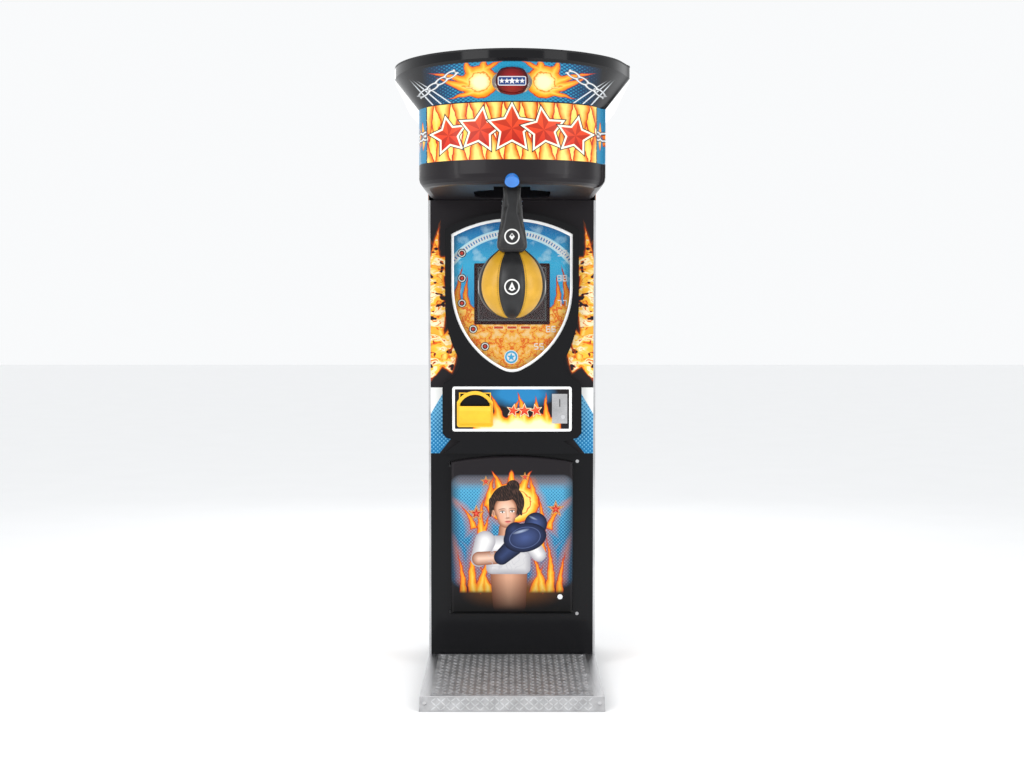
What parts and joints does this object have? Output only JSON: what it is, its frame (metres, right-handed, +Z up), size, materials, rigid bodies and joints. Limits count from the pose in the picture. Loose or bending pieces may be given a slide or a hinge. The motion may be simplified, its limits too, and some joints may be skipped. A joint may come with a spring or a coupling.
{
  "type": "boxing punch machine",
  "caption": "Free-standing punch machine: tall column on a steel base, overhanging head with a swinging bag, score window, coin panel and service doors.",
  "frame": {"origin": "middle of the base on the floor", "axes": "+Z up, -Y towards the player, +X to the player's right"},
  "size_m": [0.82, 1.456, 2.25],
  "materials": {
    "black_gloss": "gloss",
    "black_steel": "satin",
    "brushed": "brushed",
    "tread": "embossed lozenge tread",
    "printed_panel": "gloss print",
    "screw": "bright",
    "trim": "satin",
    "zinc": "satin",
    "frame_steel": "satin",
    "rubber": "matte",
    "leather_bag": "glossy leather",
    "leather_black": "satin leather",
    "chrome": "polished",
    "clear": "clear",
    "display": "gloss",
    "white_trim": "gloss",
    "yellow_plastic": "gloss",
    "grey_plastic": "matte",
    "blue_lens": "gloss",
    "badge_metal": "polished",
    "circuit": "satin",
    "tyre": "matte"
  },
  "bodies": {
    "root": {"badge": "badge_metal", "base_cover": "brushed", "base_rails": "black_steel", "bearing_blocks": "zinc", "cash_box": "zinc", "cash_shelf": "zinc", "caster_forks": "zinc", "coin_chute": "zinc", "coin_entry_plate": "brushed", "coin_panel": "printed_panel", "coin_return_cup": "yellow_plastic", "coin_validator": "grey_plastic", "control_board": "circuit", "cover_screws": "screw", "door_hinge_pins": "zinc", "edge_trims": "trim", "front_moulding": "black_gloss", "front_panel": "printed_panel", "front_trims": "white_trim", "head_lens": "blue_lens", "head_rails": "frame_steel", "head_shell": "printed_panel", "latch_solenoid": "zinc", "left_side_panel": "printed_panel", "lower_front_frame": "black_gloss", "mast_posts": "frame_steel", "mechanism_plate": "zinc", "pivot_bearings": "chrome", "power_inlet": "grey_plastic", "power_supply": "zinc", "rear_panels": "black_steel", "rear_posts": "brushed", "right_side_panel": "printed_panel", "score_board": "printed_panel", "score_display": "display", "shield_window": "clear", "speaker": "grey_plastic", "stow_tub": "black_gloss", "swing_buffers": "rubber", "swing_sensor": "grey_plastic", "top_cover": "black_gloss", "tread_plates": "tread", "visor_shell": "black_gloss"},
    "swing": {"pivot_shaft": "zinc", "swing_arm": "zinc", "arm_clamp": "chrome", "neck_sleeve": "leather_black", "guard_pad": "leather_black", "punch_bag": "leather_bag", "score_flag": "zinc"},
    "latch": {"latch_hook": "zinc"},
    "front_door": {"lower_door": "printed_panel"},
    "front_lock": {"lower_door_lock": "chrome"},
    "rear_door": {"rear_service_door": "black_steel"},
    "rear_lock": {"rear_door_lock": "chrome"},
    "reject_button": {"coin_reject_button": "chrome"},
    "return_flap": {"coin_return_flap": "black_gloss"},
    "right_wheel": {"right_caster_wheel": "tyre"},
    "left_wheel": {"left_caster_wheel": "tyre"},
    "power_rocker": {"power_switch": "black_gloss"}
  },
  "joints": [
    {"name": "bag_arm_swing", "type": "hinge", "parent": "root", "child": "swing", "pos_m": [0, -0.468, 1.89], "axis": [1, 0, 0], "range_deg": [0, 88]},
    {"name": "latch_hook_turn", "type": "hinge", "parent": "root", "child": "latch", "pos_m": [0, -0.552, 1.945], "axis": [1, 0, 0], "range_deg": [0, 20], "stiffness_Nm_per_rad": 0.5},
    {"name": "front_door_swing", "type": "hinge", "parent": "root", "child": "front_door", "pos_m": [-0.241, 0.1595, 0.5], "axis": [0, 0, -1], "range_deg": [0, 100]},
    {"name": "front_lock_turn", "type": "hinge", "parent": "front_door", "child": "front_lock", "pos_m": [0.186, 0.134, 0.276], "axis": [0, -1, 0], "range_deg": [0, 90]},
    {"name": "rear_door_swing", "type": "hinge", "parent": "root", "child": "rear_door", "pos_m": [-0.262, 0.4805, 0.82], "axis": [0, 0, 1], "range_deg": [0, 110]},
    {"name": "rear_lock_turn", "type": "hinge", "parent": "rear_door", "child": "rear_lock", "pos_m": [0.236, 0.476, 0.82], "axis": [0, -1, 0], "range_deg": [0, 90]},
    {"name": "reject_button_press", "type": "slide", "parent": "root", "child": "reject_button", "axis": [0, 1, 0], "range_m": [0, 0.003], "stiffness_N_per_m": 300},
    {"name": "return_flap_swing", "type": "hinge", "parent": "root", "child": "return_flap", "pos_m": [-0.1425, 0.139, 1.06], "axis": [1, 0, 0], "range_deg": [0, 36]},
    {"name": "power_rocker_turn", "type": "hinge", "parent": "root", "child": "power_rocker", "pos_m": [0.01, 0.47, 0.09], "axis": [1, 0, 0], "range_deg": [0, 14]},
    {"name": "right_wheel_spin", "type": "hinge", "parent": "root", "child": "right_wheel", "pos_m": [0.21, 0.526, 2.006], "axis": [1, 0, 0], "continuous": true},
    {"name": "left_wheel_spin", "type": "hinge", "parent": "root", "child": "left_wheel", "pos_m": [-0.21, 0.526, 2.006], "axis": [1, 0, 0], "continuous": true}
  ]
}
